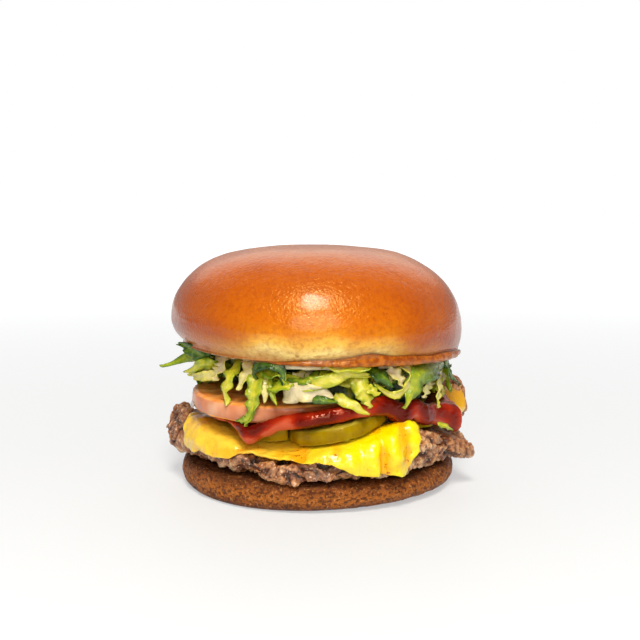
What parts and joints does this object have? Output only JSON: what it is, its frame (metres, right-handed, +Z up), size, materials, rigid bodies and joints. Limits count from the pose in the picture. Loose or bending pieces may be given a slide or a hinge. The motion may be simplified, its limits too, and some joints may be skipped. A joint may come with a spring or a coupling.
{
  "type": "cheeseburger",
  "caption": "Cheeseburger: domed glossy bun over mayonnaise, shredded lettuce, tomato, ketchup, pickle chips, a draped melted cheese slice and a craggy beef patty on a flat heel.",
  "frame": {"origin": "middle of the heel's flat base, where the burger rests", "axes": "+Z up through the layers, -Y towards the side with the hanging cheese corner, +X to the right of that side"},
  "size_m": [0.1195, 0.1098, 0.0885],
  "materials": {
    "crown_bun": "glazed golden brown bun crust, softly glossy",
    "heel_bun": "toasted brown bread crust, dull",
    "beef": "griddled ground beef, moist and craggy",
    "cheese": "melted American cheese, satin",
    "pickle": "wet pickled cucumber",
    "ketchup": "glossy tomato ketchup",
    "onion": "translucent raw onion",
    "tomato": "wet cut tomato",
    "lettuce": "crisp shredded iceberg lettuce",
    "mayonnaise": "glossy cream sauce"
  },
  "bodies": {
    "root": {"heel": "heel_bun", "patty": "beef", "cheese": "cheese", "pickle_front": "pickle", "pickle_left": "pickle", "pickle_right": "pickle", "pickle_back": "pickle", "pickle_back_left": "pickle", "ketchup": "ketchup", "onion": "onion", "tomato_front": "tomato", "tomato_back": "tomato", "lettuce": "lettuce", "mayonnaise": "mayonnaise", "crown": "crown_bun"}
  },
  "joints": []
}
